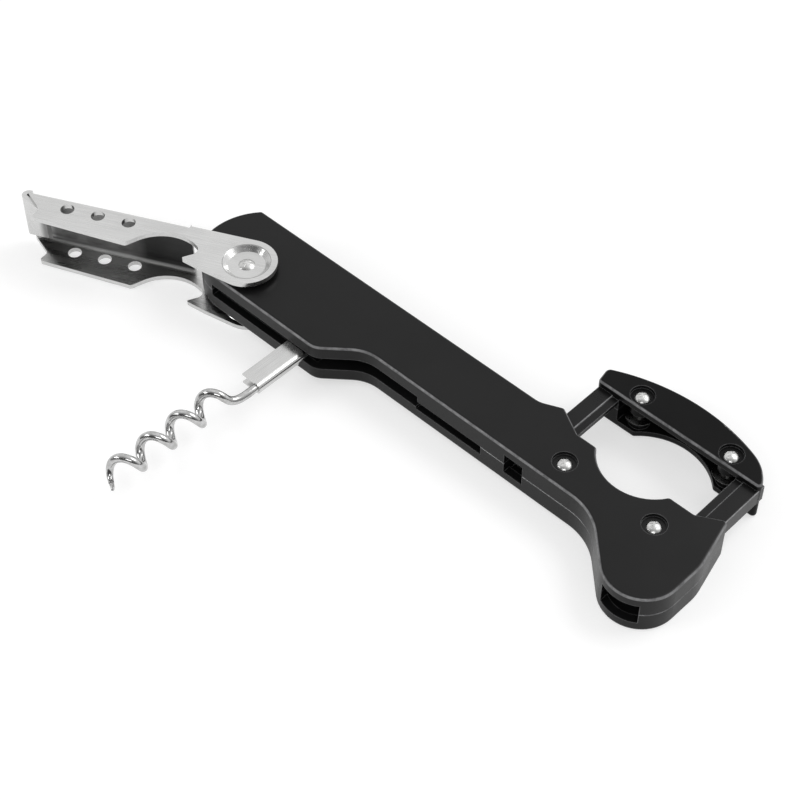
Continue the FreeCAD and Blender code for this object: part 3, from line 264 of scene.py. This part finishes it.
def sheet_steel(name, turn, level=0.26, folded=False):
    """Plated sheet, brushed along its length. The folded lever also gets painted shade inside."""
    finish = Finish(name, (0.60, 0.60, 0.59), level, metallic=1.0)
    grain = finish.noise(1.0, 3.0, 0.6, where=finish.mapped(turn, (90.0, 4200.0, 4200.0)))
    broad = finish.noise(1.0, 2.0, 0.5, where=finish.mapped(turn, (35.0, 420.0, 420.0)))
    cloud = finish.noise(70.0, 3.0, 0.55)
    edge = finish.rounding()
    marks = finish.scratches(turn + 0.5, 7 * MM, 0.10 * MM, 0.28)
    mixed = finish.math("ADD", finish.math("MULTIPLY", grain, 0.55), finish.math("MULTIPLY", cloud, 0.45))
    tone = finish.spread(mixed, 0.3, 0.7, 0.74, 1.0)
    body = finish.spread(broad, 0.3, 0.7, level - 0.05, level + 0.08)
    rough = finish.math("ADD", body, finish.math("MULTIPLY", marks, 0.12))
    if folded:
        tone, rough = inside_of_lever(finish, tone, rough)
    finish.tint(tone, (0.02, 0.02, 0.02), (0.70, 0.70, 0.695))
    finish.dull(finish.math("SUBTRACT", rough, finish.math("MULTIPLY", edge, 0.08), clamp=True))
    finish.relief(grain, 0.006 * MM, 0.5)
    finish.relief(marks, -0.004 * MM, 0.4)
    return finish.material


def wire_steel(name, level=0.12, drawn=(1600.0, 1600.0, 260.0)):
    """Bright plated wire: polished, with faint draw lines and small dull spots."""
    finish = Finish(name, (0.64, 0.64, 0.64), level, metallic=1.0)
    lines = finish.noise(1.0, 2.0, 0.5, where=finish.mapped(0.0, drawn))
    spots = finish.noise(650.0, 4.0, 0.65)
    finish.tint(finish.spread(spots, 0.35, 0.75), (0.60, 0.60, 0.60), (0.36, 0.36, 0.355))
    finish.dull(finish.spread(finish.math("MULTIPLY", lines, spots), 0.12, 0.42, level - 0.04, level + 0.16))
    finish.relief(lines, 0.004 * MM, 0.4)
    return finish.material


def turned_steel(name, centre, spokes, inner, outer, level=0.2, light=0.72, dark=0.50):
    """A turned and peened head: fine rings about its own axis and small punch marks round the middle."""
    finish = Finish(name, (0.66, 0.66, 0.65), level, metallic=1.0)
    across = finish.parts(finish.mapped(0.0, (1.0, 1.0, 1.0), (centre[0], centre[1], 0.0)))
    square = finish.math("ADD", finish.math("POWER", across[0], 2.0), finish.math("POWER", across[1], 2.0))
    radius = finish.math("SQRT", square)
    angle = finish.math("ARCTAN2", across[1], across[0])
    rings = finish.math("SINE", finish.math("MULTIPLY", radius, 2 * math.pi / (0.11 * MM)))
    spot = finish.noise(900.0, 3.0, 0.6)
    lobes = finish.math("COSINE", finish.math("MULTIPLY", angle, spokes))
    band = finish.math(
        "MULTIPLY",
        finish.spread(radius, inner * 0.8, inner, smooth=True),
        finish.spread(radius, outer * 1.15, outer, smooth=True),
    )
    punched = finish.math("MULTIPLY", finish.spread(lobes, 0.2, 0.9, smooth=True), band)
    finish.tint(finish.spread(spot, 0.3, 0.75), (light, light, light * 0.99), (dark, dark, dark * 0.98))
    rough = finish.spread(spot, 0.3, 0.7, level - 0.04, level + 0.12)
    finish.dull(finish.math("ADD", rough, finish.math("MULTIPLY", punched, 0.15), clamp=True))
    finish.relief(rings, 0.004 * MM, 0.35)
    finish.relief(punched, -0.10 * MM, 0.9)
    return finish.material


def spring_wire(name):
    """Grey spring steel, a little patchy."""
    finish = Finish(name, (0.35, 0.35, 0.35), 0.3, metallic=1.0)
    patches = finish.noise(900.0, 3.0, 0.6)
    finish.tint(finish.spread(patches, 0.3, 0.7), (0.42, 0.41, 0.40), (0.24, 0.23, 0.23))
    finish.dull(finish.spread(patches, 0.3, 0.7, 0.24, 0.42))
    finish.relief(patches, 0.003 * MM, 0.4)
    return finish.material


# ---------------------------------------------------------------------------------------------
# Finishes on the CAD nodes
# ---------------------------------------------------------------------------------------------


def dress(material, *names):
    """Gives the CAD nodes of those names that material."""
    for name in names:
        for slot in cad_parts[name].material_slots:
            slot.material = material


def middle(name):
    """The middle of a node's box, which lies on the axis of a pin or a wheel."""
    low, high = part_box(name)
    return (low + high) / 2


shell_black = moulded_plastic("handle_black", 0.16 * MM, 0.34)
jaw_black = moulded_plastic("jaw_black", 0.16 * MM, 0.31, base=0.003, specular=0.09)
# The rails get a brighter painted highlight on their edges.
rail_black = moulded_plastic("rail_black", 0.22 * MM, 0.26, edge_highlight_level=0.40)
dress(shell_black, "upper_shell", "lower_shell")
dress(jaw_black, "jaw_upper_cover", "jaw_lower_cover")
dress(rail_black, "left_rail", "right_rail")
dress(sheet_steel("lever_brushed", LEVER_TURN, folded=True), "lever")
dress(sheet_steel("shank_brushed", math.radians(90), 0.22), "worm_shank")
dress(wire_steel("worm_bright"), "worm_wire")
spring_bright = spring_wire("spring_bright")
dress(spring_bright, "left_spring", "right_spring")
for pin in ("lever_rivet", "worm_pin"):
    dress(turned_steel(pin + "_peened", middle(pin), 6, 0.7 * MM, 1.2 * MM), pin)
for tag in "abcd":
    axis = middle("wheel_pin_" + tag)
    dress(turned_steel("pin_" + tag + "_turned", axis, 4, 0.5 * MM, 1.1 * MM), "wheel_pin_" + tag)
    # The cutting wheels get a dark steel colour, darkened further as painted shade for the shade they lie in
    # under the jaw.
    dress(turned_steel("wheel_" + tag + "_ground", axis, 1, 9.0 * MM, 9.5 * MM, 0.24, 0.22, 0.10),
          "cutting_wheel_" + tag)

# ---------------------------------------------------------------------------------------------
# Springs: wound wire with closed end turns
# ---------------------------------------------------------------------------------------------

WIRE_RADIUS = 0.175 * MM
SPRING_TURNS = 13
STEPS_PER_TURN = 28
SIDES_OF_WIRE = 8
ALONG_COIL = Vector((0.0, 1.0, 0.0))


def wound_spring(name, node):
    """A coil in the node's own box, closed at both ends."""
    low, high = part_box(node)
    centre = (low + high) / 2
    coil = (high.x - low.x) / 2 - WIRE_RADIUS
    free = high.y - low.y - 2 * WIRE_RADIUS
    closed = 2.1 * WIRE_RADIUS
    open_pitch = (free - 2 * closed) / (SPRING_TURNS - 2)
    steps, around = STEPS_PER_TURN, SIDES_OF_WIRE

    def reach_at(turn):
        if turn <= 1:
            return turn * closed
        if turn <= SPRING_TURNS - 1:
            return closed + (turn - 1) * open_pitch
        return free - (SPRING_TURNS - turn) * closed

    points = []
    for step in range(SPRING_TURNS * steps + 1):
        turn = step / steps
        angle = 2 * math.pi * turn
        outward = Vector((math.cos(angle), 0.0, math.sin(angle)))
        spine = centre + coil * outward
        spine.y = low.y + WIRE_RADIUS + reach_at(turn)
        for corner in range(around):
            lean = 2 * math.pi * corner / around
            aside = math.cos(lean) * outward + math.sin(lean) * ALONG_COIL
            points.append(spine + WIRE_RADIUS * aside)
    faces = []
    for step in range(SPRING_TURNS * steps):
        for corner in range(around):
            following = (corner + 1) % around
            first, second = step * around, (step + 1) * around
            faces.append((first + corner, first + following, second + following, second + corner))
    last = SPRING_TURNS * steps * around
    faces.append(tuple(reversed(range(around))))
    faces.append(tuple(last + corner for corner in range(around)))
    mesh = bpy.data.meshes.new(name)
    mesh.from_pydata(points, [], faces)
    mesh.polygons.foreach_set("use_smooth", [True] * len(faces))
    mesh.materials.append(spring_bright)
    mesh.update()
    spring = bpy.data.objects.new(name, mesh)
    bpy.context.scene.collection.objects.link(spring)
    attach(spring, "handle")
    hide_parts(node)
    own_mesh(spring)


wound_spring("left_wound_spring", "left_spring")
wound_spring("right_wound_spring", "right_spring")

# ---------------------------------------------------------------------------------------------
# Stage: a pale floor that the object lies on, soft lamps and the camera
# ---------------------------------------------------------------------------------------------

# The floor touches the lever's ear and the wide end of the handle, as the tool lies.
lever_low, lever_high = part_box("lever")
shell_low, shell_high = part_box("lower_shell")
ear_edge = Vector((lever_high.x, 0.0, lever_low.z))
lobe_edge = Vector((shell_high.x, 0.0, shell_low.z))
floor_lean = math.atan2(lobe_edge.z - ear_edge.z, lobe_edge.x - ear_edge.x)


def seen_rays(tree):
    """1 for rays that see the stage, straight, in a reflection or through a clear piece. 0 for its light."""
    path = tree.nodes.new("ShaderNodeLightPath")
    seen = tree.nodes.new("ShaderNodeMath")
    seen.operation = "MAXIMUM"
    tree.links.new(path.outputs["Is Camera Ray"], seen.inputs[0])
    tree.links.new(path.outputs["Is Glossy Ray"], seen.inputs[1])
    both = tree.nodes.new("ShaderNodeMath")
    both.operation = "MAXIMUM"
    tree.links.new(seen.outputs[0], both.inputs[0])
    tree.links.new(path.outputs["Is Transmission Ray"], both.inputs[1])
    return both.outputs[0]


def floor_material():
    """Pale and matt. It glows a little for seeing rays, and more where the lamps no longer reach."""
    material = bpy.data.materials.new("floor_white")
    material.use_nodes = True
    tree = material.node_tree
    tree.nodes.clear()
    surface = tree.nodes.new("ShaderNodeBsdfDiffuse")
    surface.inputs["Color"].default_value = (0.54, 0.54, 0.54, 1.0)
    glow = tree.nodes.new("ShaderNodeEmission")
    away = tree.nodes.new("ShaderNodeVectorMath")
    away.operation = "LENGTH"
    tree.links.new(tree.nodes.new("ShaderNodeTexCoord").outputs["Object"], away.inputs[0])
    lit_less = tree.nodes.new("ShaderNodeMapRange")
    lit_less.interpolation_type = "SMOOTHSTEP"
    for name, number in (("From Min", 0.30), ("From Max", 0.90), ("To Min", 0.55), ("To Max", 0.75)):
        lit_less.inputs[name].default_value = number
    tree.links.new(away.outputs["Value"], lit_less.inputs["Value"])
    lift = tree.nodes.new("ShaderNodeMath")
    lift.operation = "MULTIPLY"
    tree.links.new(seen_rays(tree), lift.inputs[0])
    tree.links.new(lit_less.outputs["Result"], lift.inputs[1])
    tree.links.new(lift.outputs[0], glow.inputs["Strength"])
    total = tree.nodes.new("ShaderNodeAddShader")
    tree.links.new(surface.outputs[0], total.inputs[0])
    tree.links.new(glow.outputs[0], total.inputs[1])
    out = tree.nodes.new("ShaderNodeOutputMaterial")
    tree.links.new(total.outputs[0], out.inputs["Surface"])
    return material


FLOOR_REACH = 4.0
floor_corners = [(x * FLOOR_REACH, y * FLOOR_REACH, 0.0) for x, y in ((-1, -1), (1, -1), (1, 1), (-1, 1))]
floor_mesh = bpy.data.meshes.new("floor")
floor_mesh.from_pydata(floor_corners, [], [(0, 1, 2, 3)])
floor_mesh.materials.append(floor_material())
floor = bpy.data.objects.new("floor", floor_mesh)
bpy.context.scene.collection.objects.link(floor)
floor.location = lobe_edge
floor.rotation_euler = (0.0, -floor_lean, 0.0)

LIGHT_FROM_SKY = 0.58
world = bpy.data.worlds.new("studio")
bpy.context.scene.world = world
world.use_nodes = True
sky = world.node_tree
background = sky.nodes["Background"]
background.inputs["Color"].default_value = (1.0, 1.0, 1.0, 1.0)


def sky_range(value, start, end, to_start, to_end):
    """value between start and end, turned into a number or socket between to_start and to_end."""
    node = sky.nodes.new("ShaderNodeMapRange")
    node.interpolation_type = "SMOOTHSTEP"
    node.inputs["From Min"].default_value = start
    node.inputs["From Max"].default_value = end
    for name, number in (("To Min", to_start), ("To Max", to_end)):
        if isinstance(number, bpy.types.NodeSocket):
            sky.links.new(number, node.inputs[name])
        else:
            node.inputs[name].default_value = number
    sky.links.new(value, node.inputs["Value"])
    return node.outputs["Result"]


# Reflections see a studio that is bright behind the object and dimmer on the near side.
toward = sky.nodes.new("ShaderNodeVectorMath")
toward.operation = "DOT_PRODUCT"
sky.links.new(sky.nodes.new("ShaderNodeTexCoord").outputs["Generated"], toward.inputs[0])
toward.inputs[1].default_value = (-0.42, 0.86, 0.28)
mirrored = sky_range(toward.outputs["Value"], -0.55, 0.50, 0.08, 1.0)
rays = sky.nodes.new("ShaderNodeLightPath").outputs
seen_level = sky_range(rays["Is Camera Ray"], 0.0, 1.0, mirrored, 1.0)
sky_level = sky_range(seen_rays(sky), 0.0, 1.0, LIGHT_FROM_SKY, seen_level)
sky.links.new(sky_level, background.inputs["Strength"])


def softbox(name, place, aim, width, height, share):
    """A soft lamp that gives a level white surface at aim that share of its full brightness."""
    way = Vector(aim) - Vector(place)
    data = bpy.data.lights.new(name, "AREA")
    data.shape = "RECTANGLE"
    data.size = width
    data.size_y = height
    data.energy = share * math.pi**2 * way.length_squared / max(0.2, -way.normalized().z)
    lamp = bpy.data.objects.new(name, data)
    lamp.location = place
    lamp.rotation_euler = way.to_track_quat("-Z", "Y").to_euler()
    bpy.context.scene.collection.objects.link(lamp)


AIM = (0.02, 0.0, 0.005)
softbox("key_lamp", (0.30, 0.55, 0.75), AIM, 0.60, 0.45, 0.24)
softbox("edge_lamp", (-0.42, -0.66, 0.44), AIM, 0.36, 0.16, 0.08)
softbox("front_lamp", (0.45, -0.55, 0.60), AIM, 0.50, 0.25, 0.10)

CAMERA_PLACE = (0.2399, -0.2227, 0.3503)
CAMERA_WAY = (-0.4588, 0.4798, -0.7478)

camera_data = bpy.data.cameras.new("camera")
camera_data.sensor_width = 36.0
camera_data.lens = 86.66
camera_data.clip_start = 0.01
camera_data.clip_end = 20.0
camera = bpy.data.objects.new("camera", camera_data)
camera.location = CAMERA_PLACE
camera.rotation_euler = Vector(CAMERA_WAY).to_track_quat("-Z", "Y").to_euler()
bpy.context.scene.collection.objects.link(camera)
bpy.context.scene.camera = camera
bpy.context.scene.view_settings.view_transform = "Standard"
